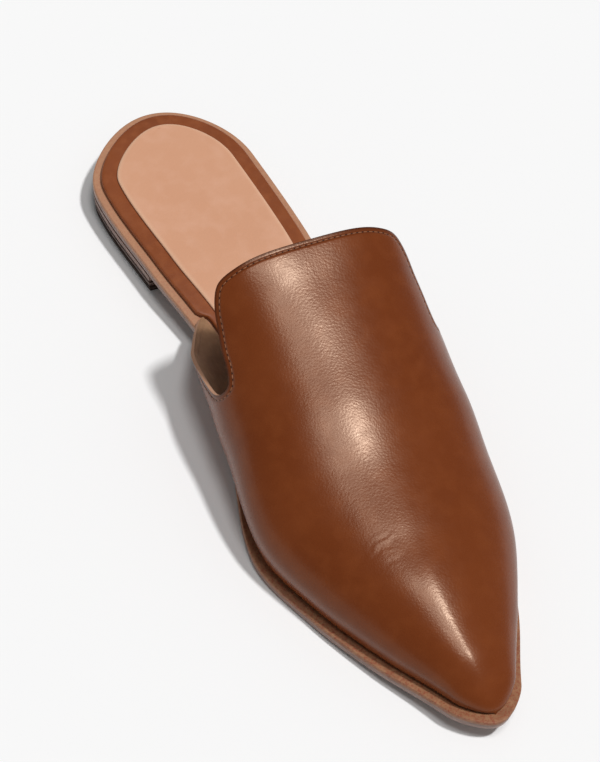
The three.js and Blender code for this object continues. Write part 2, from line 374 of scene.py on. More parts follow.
@dataclass(frozen=True)
class Last:
    """The outside of the upper's leather over the last."""

    sole: Sole
    feather_inset: float = 3.1
    nose: float = 18  # length over which the toe rounds down to its tip
    lower_steps: int = 40
    upper_steps: int = 220
    edge_steps: int = 3000

    @property
    def tip(self) -> float:
        """Place of the toe's tip along the shoe."""
        return self.sole.length - self.feather_inset

    def column(self, name: str) -> Curve:
        """A smooth function of u through one column of the section table."""
        at = np.array([row.at for row in LAST_SECTIONS]) * self.sole.length
        return through(at, np.array([getattr(row, name) for row in LAST_SECTIONS], dtype=float))

    def foot(self, u: np.ndarray) -> np.ndarray:
        """Height of the feather line."""
        return self.sole.top(u) + CLEARANCE

    def half_sections(self, u: np.ndarray, side: int) -> tuple[np.ndarray, np.ndarray, np.ndarray]:
        """Sections from the feather line up to the crest on one side.

        Args:
            u: Places along the shoe.
            side: -1 for the outer side, 1 for the inner side.

        Returns:
            x, z and the share of the section's own length, each indexed by place and step.
        """
        nose = round_off((self.tip - u) / self.nose)[:, None]
        foot = self.foot(u)[:, None]
        height = (self.column("crest")(u)[:, None] - foot) * nose
        rise = self.column("rise")(u)[:, None] * nose
        swell = side * self.column("outer" if side < 0 else "inner")(u)[:, None] * nose
        feather = self.sole.edge(side, self.feather_inset)(u)[:, None]
        middle = (feather + self.sole.edge(-side, self.feather_inset)(u)[:, None]) / 2
        ridge = middle + (self.column("ridge")(u)[:, None] - middle) * nose
        power = 2 / self.column("full")(u)[:, None]
        low = np.linspace(0, 1, self.lower_steps)[None, :-1]
        angle = np.linspace(0, math.pi / 2, self.upper_steps)[None, :]
        away = np.clip(np.cos(angle), 0, 1) ** power
        lower_x = feather + swell * np.sin(low * math.pi / 2)
        upper_x = ridge + (feather + swell - ridge) * away
        x = np.concatenate([lower_x, upper_x], axis=1)
        z = foot + np.concatenate([rise * low, rise + (height - rise) * np.sin(angle) ** power], axis=1)
        run = np.cumsum(np.hypot(np.diff(x, axis=1), np.diff(z, axis=1)), axis=1)
        share = np.pad(run, ((0, 0), (1, 0))) / np.maximum(run[:, -1:], WELD)
        return x, z, share

    def surface(self, u: np.ndarray, across: np.ndarray) -> np.ndarray:
        """Points on the outside of the leather.

        Args:
            u: Places along the shoe.
            across: From -1, the outer feather line, over 0, the crest, to 1, the inner one.

        Returns:
            Points, with a last axis of x, y and z.
        """
        points = np.zeros((*u.shape, 3))
        for side in (-1, 1):
            mine = (across < 0) == (side < 0)
            x, z, share = self.half_sections(u[mine], side)
            reach = 1 - np.abs(across[mine])
            i = np.clip((share < reach[:, None]).sum(axis=1), 1, share.shape[1] - 1)
            row = np.arange(len(i))
            span = np.maximum(share[row, i] - share[row, i - 1], 1e-12)
            t = np.clip((reach - share[row, i - 1]) / span, 0, 1)
            point_x = x[row, i - 1] * (1 - t) + x[row, i] * t
            point_z = z[row, i - 1] * (1 - t) + z[row, i] * t
            points[mine] = np.stack([point_x, self.sole.length / 2 - u[mine], point_z], axis=-1)
        return points

    def free_edge(self, count: int) -> tuple[np.ndarray, np.ndarray]:
        """The free edge from the outer wing over the throat to the inner wing.

        Args:
            count: Number of points, evenly spaced along the edge.

        Returns:
            u and the place across of each point.
        """
        heights = np.array([row.z for row in FREE_EDGE], dtype=float)
        side_view = through(heights, np.array([row.u for row in FREE_EDGE], dtype=float))
        climb = 1 - (1 - np.linspace(0, 1, self.edge_steps)) ** 3
        z = heights[0] + (heights[-1] - heights[0]) * climb
        u = side_view(z)
        below_crest = (z > self.foot(u)) & (z < self.column("crest")(u))
        u = u[below_crest]
        z = z[below_crest]
        halves = []
        for side in (-1, 1):
            _, section_z, share = self.half_sections(u, side)
            reach = np.array([np.interp(*row) for row in zip(z, section_z, share)])
            reach[0] = 0
            reach[-1] = 1
            halves.append(side * (1 - reach))
        whole_u = np.concatenate([u, u[-2::-1]])
        across = np.concatenate([halves[0], halves[1][-2::-1]])
        points = self.surface(whole_u, across)
        run = np.pad(np.cumsum(np.linalg.norm(np.diff(points, axis=0), axis=1)), (1, 0))
        even = np.linspace(0, run[-1], count)
        return np.interp(even, run, whole_u), np.interp(even, run, across)


# ------------------------------------------------------------------------------ finishes
def add_node(
    tree: bpy.types.NodeTree, kind: str, inputs: dict[str | int, Any] | None = None, **settings: Any
) -> bpy.types.Node:
    """Adds a shader node with its settings and its links.

    Args:
        tree: The material's node tree.
        kind: The node's type name, without "ShaderNode".
        inputs: Socket values or the output sockets to link, by input name or number.
        settings: The node's own properties.

    Returns:
        The node.
    """
    node = tree.nodes.new("ShaderNode" + kind)
    for name, value in settings.items():
        setattr(node, name, value)
    for name, value in (inputs or {}).items():
        if isinstance(value, bpy.types.NodeSocket):
            tree.links.new(value, node.inputs[name])
        else:
            node.inputs[name].default_value = value
    return node


def noise(tree: bpy.types.NodeTree, place: Socket, size: float, detail: float) -> Socket:
    """Adds a noise.

    Args:
        tree: The material's node tree.
        place: Where the surface is.
        size: Width of its clouds in mm.
        detail: Octaves of finer noise inside them.

    Returns:
        The noise's socket.
    """
    node = add_node(tree, "TexNoise", {"Vector": place, "Scale": 1 / (size * MM), "Detail": detail})
    return node.outputs["Fac"]


def remap(
    tree: bpy.types.NodeTree,
    value: Socket,
    source: tuple[float, float],
    target: tuple[float, float] = (0.0, 1.0),
) -> Socket:
    """Adds a change of range that stops at its ends.

    Args:
        tree: The material's node tree.
        value: The value.
        source: The range that it is taken from.
        target: The range that it is brought to.

    Returns:
        The new value's socket.
    """
    ends = {0: value, 1: source[0], 2: source[1], 3: target[0], 4: target[1]}
    return add_node(tree, "MapRange", ends).outputs[0]


def blend(
    tree: bpy.types.NodeTree, amount: Socket, under: Socket | Colour, over: Socket | Colour
) -> Socket:
    """Mixes two colours.

    Args:
        tree: The material's node tree.
        amount: How much of the second colour.
        under: The first colour.
        over: The second colour.

    Returns:
        The mixed colour's socket.
    """
    return add_node(tree, "Mix", {0: amount, 6: under, 7: over}, data_type="RGBA").outputs[2]


def bump(
    tree: bpy.types.NodeTree,
    height: Socket,
    depth: float,
    under: Socket | None = None,
    strength: float = 1.0,
    invert: bool = False,
) -> Socket:
    """Adds a relief.

    Args:
        tree: The material's node tree.
        height: Its height, from 0 to 1.
        depth: Its depth in mm.
        under: The normal that it lies on, if it is not the surface's own.
        strength: How strongly it shows.
        invert: Whether it goes inward.

    Returns:
        The normal's socket.
    """
    inputs = {"Strength": strength, "Distance": depth * MM, "Height": height}
    if under:
        inputs["Normal"] = under
    return add_node(tree, "Bump", inputs, invert=invert).outputs[0]


def empty_material(name: str) -> bpy.types.Material:
    """Makes a material whose node tree is still empty.

    Args:
        name: The material's name.

    Returns:
        The material.
    """
    made = bpy.data.materials.new(name)
    made.use_nodes = True
    made.node_tree.nodes.clear()
    return made


class Mark(Enum):
    """Values kept with the vertices, for a finish or a modifier to follow."""

    TRIM = "trim"  # 1 at a skived or buffed corner
    # The edge mark also carries painted shade along the stitch furrow, at half strength.
    EDGE = "edge"  # 1 at the upper's free edge
    RAW = "raw"  # 1 where a cut edge is not inked or burnished
    WALL = "wall"  # weight of the leather's thickness


class Tint(NamedTuple):
    """A change of colour that follows a mark or a noise."""

    shade: str
    amount: float


class Pinch(NamedTuple):
    """A small patch of fine wrinkles across the vamp."""

    place: tuple[float, float, float]
    reach: float  # mm over which it fades out
    pitch: float  # mm from one wrinkle to the next
    depth: float  # mm
    turn: float  # degrees from straight across the shoe


@dataclass(frozen=True)
class Leather:
    """A leather: mottled dye, a grain that catches the light, and trims along its edges."""

    name: str
    shades: tuple[str, str, str]  # dark, middle and light of the dye
    mottle: float  # mm, size of the dye's clouds
    grain: float  # mm, width of one pebble of the grain
    grain_depth: float  # mm
    roughness: tuple[float, float]
    gloss_patch: float = 4  # mm, size of the patches of more and less gloss
    specular: float = 0.5
    gloss_tint: str = "#ffffff"
    coat: float = 0.0
    sheen: float = 0.0
    trim: Tint | None = None
    trim_mark: Mark = Mark.TRIM
    specks: Tint | None = None
    speck_size: float = 0.5  # mm
    strata: Tint | None = None
    strata_pitch: float = 0.6  # mm
    pinch: Pinch | None = None

    def material(self) -> bpy.types.Material:
        """Builds the material.

        Returns:
            The material.
        """
        made = empty_material(self.name)
        tree = made.node_tree
        place = add_node(tree, "TexCoord").outputs["Object"]
        colour = self._dye(tree, place)
        colour = self._layers(tree, place, colour)
        gloss = remap(tree, noise(tree, place, self.gloss_patch, 3.0), (0.3, 0.7), self.roughness)
        shader = add_node(
            tree,
            "BsdfPrincipled",
            {
                "Base Color": colour,
                "Roughness": gloss,
                "IOR": 1.5,
                "Specular IOR Level": self.specular,
                "Specular Tint": linear(self.gloss_tint),
                "Coat Weight": self.coat,
                "Coat Roughness": 0.28,
                "Sheen Weight": self.sheen,
                "Sheen Roughness": 0.5,
                "Normal": self._relief(tree, place),
            },
        )
        add_node(tree, "OutputMaterial", {"Surface": shader.outputs["BSDF"]})
        return made

    def _dye(self, tree: bpy.types.NodeTree, place: Socket) -> Socket:
        """The mottled dye: large clouds, and a finer unevenness inside them.

        Args:
            tree: The material's node tree.
            place: Where the surface is.

        Returns:
            The colour's socket.
        """
        dark, middle, light = (linear(shade) for shade in self.shades)
        clouds = remap(tree, noise(tree, place, self.mottle, 4.0), (0.32, 0.68))
        fine = remap(tree, noise(tree, place, self.mottle / 5, 5.0), (0.45, 0.8))
        return blend(tree, fine, blend(tree, clouds, dark, middle), light)

    def _layers(self, tree: bpy.types.NodeTree, place: Socket, colour: Socket) -> Socket:
        """Lays specks, the pressed layers of a cut edge, and the trim over the dye.

        Args:
            tree: The material's node tree.
            place: Where the surface is.
            colour: The dye's socket.

        Returns:
            The colour's socket.
        """
        if self.specks:
            cells = add_node(tree, "TexVoronoi", {"Vector": place, "Scale": 1 / (self.speck_size * MM)})
            tone = add_node(tree, "SeparateColor", {0: cells.outputs["Color"]}).outputs[0]
            chosen = remap(tree, tone, (0.55, 0.95), (0.0, self.specks.amount))
            colour = blend(tree, chosen, colour, linear(self.specks.shade))
        if self.strata:
            flat = add_node(tree, "Mapping", {"Vector": place, "Scale": (0.08, 0.08, 1.0)}).outputs[0]
            bands = noise(tree, flat, self.strata_pitch, 3.0)
            pressed = remap(tree, bands, (0.4, 0.65), (0.0, self.strata.amount))
            colour = blend(tree, pressed, colour, linear(self.strata.shade))
        if self.trim:
            mark = add_node(tree, "Attribute", attribute_name=self.trim_mark.value).outputs["Fac"]
            worn = add_node(tree, "Math", {0: mark, 1: self.trim.amount}, operation="MULTIPLY")
            colour = blend(tree, worn.outputs[0], colour, linear(self.trim.shade))
        return colour

    def _relief(self, tree: bpy.types.NodeTree, place: Socket) -> Socket:
        """The bump: pebbled grain over a softer unevenness, with any pinched wrinkles.

        Args:
            tree: The material's node tree.
            place: Where the surface is.

        Returns:
            The normal's socket.
        """
        soft = noise(tree, place, self.grain * 6, 3.0)
        normal = bump(tree, soft, self.grain_depth * 1.4, strength=0.35)
        if self.pinch:
            normal = self._wrinkles(tree, place, normal)
        pebbles = add_node(
            tree,
            "TexVoronoi",
            {"Vector": place, "Scale": 1 / (self.grain * MM), "Smoothness": 0.35},
            feature="SMOOTH_F1",
        )
        pores = noise(tree, place, self.grain / 2.2, 2.0)
        height = add_node(tree, "Math", {0: pebbles.outputs["Distance"], 1: pores}, operation="ADD")
        return bump(tree, height.outputs[0], self.grain_depth, normal, invert=True)

    def _wrinkles(self, tree: bpy.types.NodeTree, place: Socket, normal: Socket) -> Socket:
        """Fine wrinkles that fade out round the pinched place.

        Args:
            tree: The material's node tree.
            place: Where the surface is.
            normal: The normal's socket so far.

        Returns:
            The normal's socket.
        """
        pinch = self.pinch
        centre = tuple(value * MM for value in pinch.place)
        centred = add_node(tree, "VectorMath", {0: place, 1: centre}, operation="SUBTRACT").outputs[0]
        turned = add_node(
            tree, "Mapping", {"Vector": centred, "Rotation": (0, 0, math.radians(pinch.turn))}
        ).outputs[0]
        lines = add_node(
            tree,
            "TexWave",
            {
                "Vector": turned,
                "Scale": WAVE_PERIOD / (pinch.pitch * MM),
                "Distortion": 9.0,
                "Detail": 2.5,
            },
            bands_direction="Y",
        )
        away = add_node(tree, "VectorMath", {0: centred}, operation="LENGTH").outputs["Value"]
        fade = remap(tree, away, (0.0, pinch.reach * MM), (1.0, 0.0))
        height = add_node(tree, "Math", {0: lines.outputs["Fac"], 1: fade}, operation="MULTIPLY")
        return bump(tree, height.outputs[0], pinch.depth, normal)


@dataclass(frozen=True)
class Plain:
    """A moulded or spun material with one fine noise in its colour and relief."""

    name: str
    shade: str
    second: str
    size: float  # mm, of the noise
    depth: float  # mm, of the relief
    roughness: float
    sheen: float = 0.0

    def material(self) -> bpy.types.Material:
        """Builds the material.

        Returns:
            The material.
        """
        made = empty_material(self.name)
        tree = made.node_tree
        place = add_node(tree, "TexCoord").outputs["Object"]
        clouds = noise(tree, place, self.size, 4.0)
        shader = add_node(
            tree,
            "BsdfPrincipled",
            {
                "Base Color": blend(tree, clouds, linear(self.shade), linear(self.second)),
                "Roughness": self.roughness,
                "Sheen Weight": self.sheen,
                "Normal": bump(tree, clouds, self.depth, strength=0.6),
            },
        )
        add_node(tree, "OutputMaterial", {"Surface": shader.outputs["BSDF"]})
        return made


# Smooth aniline calf, drum dyed and glazed: a warm brown with a satin gloss and a fine pebble
# that breaks the highlight up, burnished darker along its cut edges, and with painted shade along
# the stitch furrow.
CALF = Leather(
    name="Aniline_calf_glazed",
    shades=("#6a3011", "#703515", "#763a19"),
    mottle=34,
    grain=0.8,
    grain_depth=0.02,
    roughness=(0.25, 0.3),
    specular=0.36,
    gloss_tint="#ffe2c8",
    trim=Tint("#341205", 0.8),
    trim_mark=Mark.EDGE,
    pinch=Pinch((-12.0, -75.5, 32.0), 7.0, 3.4, 0.09, -8),
)
# Undyed calf lining, matt, with open pores: its pale tan is painted darker, as painted shade from the
# notch where it shows.
LINING = Leather(
    name="Natural_calf_lining",
    shades=("#8a6246", "#96704f", "#a27c5c"),
    mottle=14,
    grain=0.8,
    grain_depth=0.03,
    roughness=(0.6, 0.72),
    sheen=0.1,
)
# The cut edge of calf and lining together: inked brown along the throat, left raw and pale
# round the notch and along the wings.
CUT_EDGE = Leather(
    name="Raw_cut_leather_edge",
    shades=("#5e2c14", "#6c3a20", "#7c482c"),
    mottle=5,
    grain=0.4,
    grain_depth=0.02,
    roughness=(0.6, 0.75),
    specular=0.25,
    trim=Tint("#b98f74", 0.85),
    trim_mark=Mark.RAW,
)
# Vegetable-tanned sock leather: natural, matt and finely pored, paler where its edge is skived.
SOCK = Leather(
    name="Vegetable_tanned_sock",
    shades=("#cd9675", "#d09a79", "#d4a082"),
    mottle=34,
    grain=0.9,
    grain_depth=0.03,
    roughness=(0.58, 0.7),
    sheen=0.08,
    trim=Tint("#e0b494", 0.8),
)
# Brown calf wrapped over the insole board: smooth and satin.
WRAP = Leather(
    name="Wrapped_calf_rim",
    shades=("#7a3c18", "#84431c", "#8c4b24"),
    mottle=18,
    grain=0.7,
    grain_depth=0.03,
    roughness=(0.44, 0.54),
    specular=0.4,
)
# Natural sole leather of the tan layer: buffed, flecked with rust fibre, pale round the heel and
# burnished darker towards the toe.
LEDGE = Leather(
    name="Buffed_sole_leather",
    shades=("#885a3e", "#976848", "#a67856"),
    mottle=9,
    grain=0.5,
    grain_depth=0.04,
    roughness=(0.5, 0.65),
    trim=Tint("#c79473", 0.5),
    trim_mark=Mark.RAW,
    specks=Tint("#86391f", 0.7),
    speck_size=0.5,
)
# Stacked sole leather, edge waxed and burnished: taupe, with the pressed layers still showing.
EDGE = Leather(
    name="Waxed_stacked_edge",
    shades=("#8c7066", "#9b7e73", "#a88c80"),
    mottle=7,
    grain=0.5,
    grain_depth=0.03,
    roughness=(0.38, 0.5),
    coat=0.05,
    strata=Tint("#684a3c", 0.6),
    strata_pitch=0.55,
)
# Moulded rubber of the top piece: dark, matt, faintly rough from the mould.
RUBBER = Plain("Moulded_rubber", "#4a342a", "#5a4236", 1.2, 0.05, 0.7)
# Bonded polyester sewing thread: tan, with a dull sheen.
THREAD = Plain("Bonded_polyester_thread", "#7c4826", "#925a34", 0.3, 0.03, 0.5, 0.1)
# The awl's holes between the stitches: dark, because no light gets in.
HOLE = Plain("Stitch_hole_shade", "#1e0c06", "#2a120a", 0.4, 0.01, 0.9)


# ------------------------------------------------------------------------------ sub-assemblies
@dataclass(frozen=True)
class SoleLayer:
    """A flat layer of the sole: a profile of rings carried round an outline."""

    name: str
    node: str
    slot: str
    finish: Leather
    sole: Sole
    inset: float
    rings: tuple[Ring, ...]
    below_top: float  # how far its underside lies below the tan layer's top
    front: float | None = None
    tuck_inset: float | None = None  # the inset inside the upper, where it differs
    tuck_from: float = 89.5
    tuck_to: float = 93
    dish: float = 0.0  # depth of the hollow that the heel of the foot presses
    dish_u: float = 42
    dish_reach: float = 34
    pale_to: float = 70  # the buffed heel end is pale up to here
    burnished_from: float = 140  # and the forepart burnished from here on
    rows: int = 260
    spans: int = 6

    def edge(self, side: int, ring: Ring) -> Curve:
        """The layer's edge at one ring.

        Args:
            side: -1 for the outer side, 1 for the inner side.
            ring: The ring of the profile.

        Returns:
            The edge's x as a function of u.
        """
        near = self.sole.edge(side, self.inset + ring.inset)
        if self.tuck_inset is None:
            return near
        far = self.sole.edge(side, self.tuck_inset + ring.inset)

        def mixed(u: np.ndarray) -> np.ndarray:
            """The visible rim at the heel, and the tucked edge further forward.

            Args:
                u: Places along the shoe.

            Returns:
                The edge's x.
            """
            mix = ease((u - self.tuck_from) / (self.tuck_to - self.tuck_from))
            return near(u) * (1 - mix) + far(u) * mix

        return mixed

    def column(self, side: int, ring: Ring, spread: float, share: np.ndarray) -> np.ndarray:
        """One line of points from heel to toe.

        Args:
            side: -1 for the outer side, 1 for the inner side.
            ring: The ring of the profile.
            spread: 0 on the layer's middle line, 1 on the ring.
            share: Places from 0 at the heel to 1 at the front.

        Returns:
            The points.
        """
        start = self.inset + ring.inset
        far_inset = self.inset if self.tuck_inset is None else self.tuck_inset
        end = self.sole.length - far_inset - ring.inset if self.front is None else self.front
        u = start + (end - start) * share
        own = self.edge(side, ring)(u)
        middle = (own + self.edge(-side, ring)(u)) / 2
        x = middle + (own - middle) * spread
        x[0] = middle[0]
        if self.front is None:
            x[-1] = middle[-1]
        hollow = self.dish * (1 - spread**2) * np.exp(-(((u - self.dish_u) / self.dish_reach) ** 2))
        z = self.sole.top(u) - self.below_top + ring.lift - hollow * (ring is self.rings[-1])
        return np.stack([x, self.sole.length / 2 - u, z], axis=-1)

    def build(self) -> bpy.types.Object:
        """Builds the layer and fastens it to the frame.

        Returns:
            The object.
        """
        turn = math.pi if self.front is None else math.pi / 2
        steps = np.linspace(0, turn, self.rows)
        share = (1 - np.cos(steps)) / (1 - math.cos(turn))
        spreads = np.linspace(0, 1, self.spans + 1)[:-1]
        half = [(self.rings[0], spread) for spread in spreads]
        half += [(ring, 1.0) for ring in self.rings]
        half += [(self.rings[-1], spread) for spread in spreads[::-1]]
        lines = [(-1, ring, spread) for ring, spread in half]
        lines += [(1, ring, spread) for ring, spread in half[::-1]]
        points = np.stack([self.column(*line, share) for line in lines], axis=1)
        trim = np.array([ring.trim if spread == 1 else 0.0 for _, ring, spread in lines])
        past_heel = (self.sole.length * share - self.pale_to) / (self.burnished_from - self.pale_to)
        heelwards = 1 - ease(past_heel)
        marks = {
            Mark.TRIM.value: np.tile(trim, (self.rows, 1)),
            Mark.RAW.value: np.tile(heelwards[:, None], (1, len(lines))),
        }
        bm = grid_mesh(points, marks)
        weld(bm)
        if self.front is not None:
            bmesh.ops.holes_fill(bm, edges=[edge for edge in bm.edges if edge.is_boundary], sides=0)
            bmesh.ops.recalc_face_normals(bm, faces=bm.faces)
        piece = add_object(self.name, bm, self.finish.material())
        even = piece.modifiers.new("even_shading", "WEIGHTED_NORMAL")
        even.keep_sharp = True
        place_piece(piece, self.node)
        return piece


@dataclass(frozen=True)
class StackedHeel:
    """The leather lifts and the rubber top piece under the heel."""

    sole: Sole
    inset: float = 0.3
    breast: float = 66
    taper: float = 0.16
    underside: float = 8.4  # height of the outsole's underside over the heel
    top_piece: float = 3.0
    lift: float = 2.4
    points: int = 240
    corner: float = 0.28  # width of the bevel along its edges
    corner_angle: float = 40  # degrees from which an edge is bevelled

    def outline(self, height: float) -> np.ndarray:
        """The heel's outline at a height, from its back down the outer side and back.

        Args:
            height: Height above the floor.

        Returns:
            x and y of each point.
        """
        inset = self.inset + (self.underside - height) * self.taper
        half = self.points // 2
        turn = np.linspace(0, math.pi / 2, half)
        u = inset + (self.breast - inset) * (1 - np.cos(turn))
        outer = self.sole.edge(-1, inset)(u)
        inner = self.sole.edge(1, inset)(u)
        x = np.concatenate([outer, inner[::-1]])
        y = self.sole.length / 2 - np.concatenate([u, u[::-1]])
        return np.stack([x, y], axis=-1)

    def layer(self, name: str, bottom: float, top: float, finish: Leather | Plain) -> bpy.types.Object:
        """One level layer of the heel.

        Args:
            name: The piece's name.
            bottom: Height of its underside.
            top: Height of its top.
            finish: Its finish.

        Returns:
            The object.
        """
        bm = bmesh.new()
        bmesh.ops.create_circle(bm, cap_ends=True, segments=self.points, radius=1)
        bm.faces.ensure_lookup_table()
        lower = bm.faces[0]
        for loop, place in zip(lower.loops, self.outline(bottom)):
            loop.vert.co = (place[0] * MM, place[1] * MM, bottom * MM)
        grown = bmesh.ops.extrude_face_region(bm, geom=[lower], use_keep_orig=True)
        upper = next(item for item in grown["geom"] if isinstance(item, bmesh.types.BMFace))
        for loop, place in zip(upper.loops, self.outline(top)):
            loop.vert.co = (place[0] * MM, place[1] * MM, top * MM)
        bmesh.ops.remove_doubles(bm, verts=bm.verts, dist=WELD * MM)
        bmesh.ops.recalc_face_normals(bm, faces=bm.faces)
        sharp_from = math.radians(self.corner_angle)
        sharp = [edge for edge in bm.edges if edge.calc_face_angle(0) > sharp_from]
        bmesh.ops.bevel(
            bm,
            geom=sharp,
            offset=self.corner * MM,
            affect="EDGES",
            segments=3,
            profile=0.5,
            material=-1,
            clamp_overlap=True,
        )
        bmesh.ops.dissolve_degenerate(bm, dist=WELD * MM, edges=bm.edges)
        piece = add_object(name, bm, finish.material())
        piece.modifiers.new("even_shading", "WEIGHTED_NORMAL").keep_sharp = True
        return piece

    def build(self) -> None:
        """Builds the top piece and the lifts, and fastens them to the frame."""
        rubber = self.layer("rubber_top_piece", 0, self.top_piece, RUBBER)
        place_piece(rubber, "top_piece")
        bottom = self.top_piece + CLEARANCE - CONTACT
        for number in (1, 2):
            top = bottom + self.lift + CONTACT
            lift = self.layer(f"stacked_lift_{number}", bottom, top, EDGE)
            place_piece(lift, f"heel_lift_{number}")
            bottom = top + CLEARANCE - CONTACT


@dataclass(frozen=True)
class Upper:
    """The one-piece vamp with its wings, its lining, and the row of stitches along its edge."""

    last: Last
    wall: float = 2.0
    edge_wall: float = 0.6  # share of the wall left at the skived free edge
    tip_wall: float = 0.1  # and at the very tip of the toe
    least_wall: float = 0.15  # share that a weight of 0 stands for
    least_weight: float = 0.03
    skive: float = 7.0
    toe_skive: float = 9.0
    inked: float = 0.8  # width of the dark band along the free edge
    # Width of the painted shade along the stitch furrow.
    furrow_shade_width: float = 0.45  # and of the one along the stitches
    raw_above: float = 47  # height over which the cut edge is inked right through
    raw_blend: float = 8
    columns: int = 280
    toe_rows: int = 22
    body_rows: int = 104
    edge_rows: int = 18
    toe_share: float = 0.1
    edge_share: float = 0.03
    fan: float = 1.5  # how late the columns spread from the toe to their places on the edge
    tuck: float = 2.2  # height over which the leather turns in to the feather line
    tuck_depth: float = 0.7
    seat: float = 6  # height over which the foot of the leather settles on the sole
    stitch_inset: float = 1.7
    furrow: float = 0.22
    furrow_width: float = 0.4
    stitch_pitch: float = 2.1
    stitch_length: float = 1.6
    stitch_margin: float = 4  # length left unsewn at each end
    thread: float = 0.42
    thread_lift: float = 0.05
    hole: float = 0.26
    hole_depth: float = 0.1
    bevel: float = 0.4
    bevel_angle: float = 50  # degrees from which an edge is rounded

    def rows(self) -> np.ndarray:
        """Shares from the toe to the free edge, closer together at both.

        Returns:
            The shares, from 0 to 1.
        """
        toe = self.toe_share * np.linspace(0, 1, self.toe_rows, endpoint=False) ** 1.5
        body = np.linspace(self.toe_share, 1 - self.edge_share, self.body_rows, endpoint=False)
        edge = np.linspace(1 - self.edge_share, 1, self.edge_rows)
        return np.concatenate([toe, body, edge])

    def outside(self) -> tuple[np.ndarray, np.ndarray, np.ndarray]:
        """The outside of the leather as a grid from the toe to the free edge.

        Returns:
            Points, outward normals, and distance from the free edge, by row and column.
        """
        edge_u, edge_across = self.last.free_edge(self.columns)
        share = self.rows()[:, None]
        u = self.last.tip + (edge_u - self.last.tip) * share
        toe_across = np.linspace(-1, 1, self.columns)
        across = toe_across + (edge_across - toe_across) * share**self.fan
        points = self.last.surface(u, across)
        along = np.gradient(points, axis=0)
        sideways = np.gradient(points, axis=1)
        normals = np.cross(along, sideways)
        normals /= np.maximum(np.linalg.norm(normals, axis=2, keepdims=True), 1e-9)
        crest = self.columns // 2
        normals *= np.sign(normals[len(share) // 2, crest, 2])
        normals[0] = 0
        edge_points = points[-1]
        away = np.stack(
            [np.linalg.norm(row[:, None] - edge_points[None], axis=2).min(axis=1) for row in points]
        )
        height = points[..., 2] - self.last.foot(u)
        push = -self.tuck_depth * np.clip(1 - height / self.tuck, 0, 1) ** 2
        push -= self.furrow * np.exp(-(((away - self.stitch_inset) / self.furrow_width) ** 2))
        for hollow in HOLLOWS:
            along_shoe = ((u - hollow.u) / hollow.length) ** 2
            over_shoe = ((across - hollow.across) / hollow.width) ** 2
            push -= hollow.depth * np.exp(-along_shoe - over_shoe)
        points = points + normals * push[..., None]
        points[..., 2] -= CONTACT * np.clip(1 - height / self.seat, 0, 1) ** 2
        return points, normals, away

    def build(self) -> None:
        """Builds the vamp and its stitches, and fastens them to the frame."""
        points, normals, away = self.outside()
        bm = grid_mesh(points, self._marks(points, away))
        bmesh.ops.remove_doubles(bm, verts=bm.verts, dist=WELD * MM)
        bm.normal_update()
        highest = max(bm.faces, key=lambda face: face.calc_center_median().z)
        if highest.normal.z < 0:
            bmesh.ops.reverse_faces(bm, faces=bm.faces)
        tree = BVHTree.FromBMesh(bm)
        finishes = (CALF.material(), LINING.material(), CUT_EDGE.material())
        piece = add_object("calf_upper", bm, *finishes)
        self._thicken(piece)
        place_piece(piece, "upper")
        self._stitch(points[-1], normals[-1], tree)

    def _marks(self, points: np.ndarray, away: np.ndarray) -> dict[str, np.ndarray]:
        """The values kept with the leather's points.

        Args:
            points: The points.
            away: Their distances from the free edge.

        Returns:
            The marks that the finishes follow and the weight of the wall's thickness, by name.
        """
        # Dark ink along the free edge, plus painted shade along the stitch furrow at half strength.
        edge_ink_and_furrow_shade = np.exp(-((away / self.inked) ** 2))
        edge_ink_and_furrow_shade += 0.5 * np.exp(-(((away - self.stitch_inset) / self.furrow_shade_width) ** 2))
        to_tip = self.last.tip - (self.last.sole.length / 2 - points[..., 1])
        wall = self.edge_wall + (1 - self.edge_wall) * ease(away / self.skive)
        wall = wall * (self.tip_wall + (1 - self.tip_wall) * ease(to_tip / self.toe_skive))
        wall = (wall - self.least_wall) / (1 - self.least_wall)
        return {
            Mark.EDGE.value: edge_ink_and_furrow_shade,
            Mark.RAW.value: ease((self.raw_above - points[..., 2]) / self.raw_blend),
            Mark.WALL.value: np.clip(wall, self.least_weight, 1),
        }

    def _thicken(self, piece: bpy.types.Object) -> None:
        """Gives the vamp its wall, skived towards the free edge, and rounds its cut edges.

        Args:
            piece: The outside of the leather.
        """
        group = piece.vertex_groups.new(name="thickness")
        weights = piece.data.attributes[Mark.WALL.value].data
        for vert, value in zip(piece.data.vertices, weights):
            group.add([vert.index], value.value, "REPLACE")
        wall = piece.modifiers.new("wall", "SOLIDIFY")
        wall.thickness = self.wall * MM
        wall.offset = -1
        wall.vertex_group = group.name
        wall.thickness_vertex_group = self.least_wall
        wall.material_offset = 1
        wall.material_offset_rim = 2
        soft = piece.modifiers.new("rounded_edge", "BEVEL")
        soft.width = self.bevel * MM
        soft.segments = 3
        soft.limit_method = "ANGLE"
        soft.angle_limit = math.radians(self.bevel_angle)

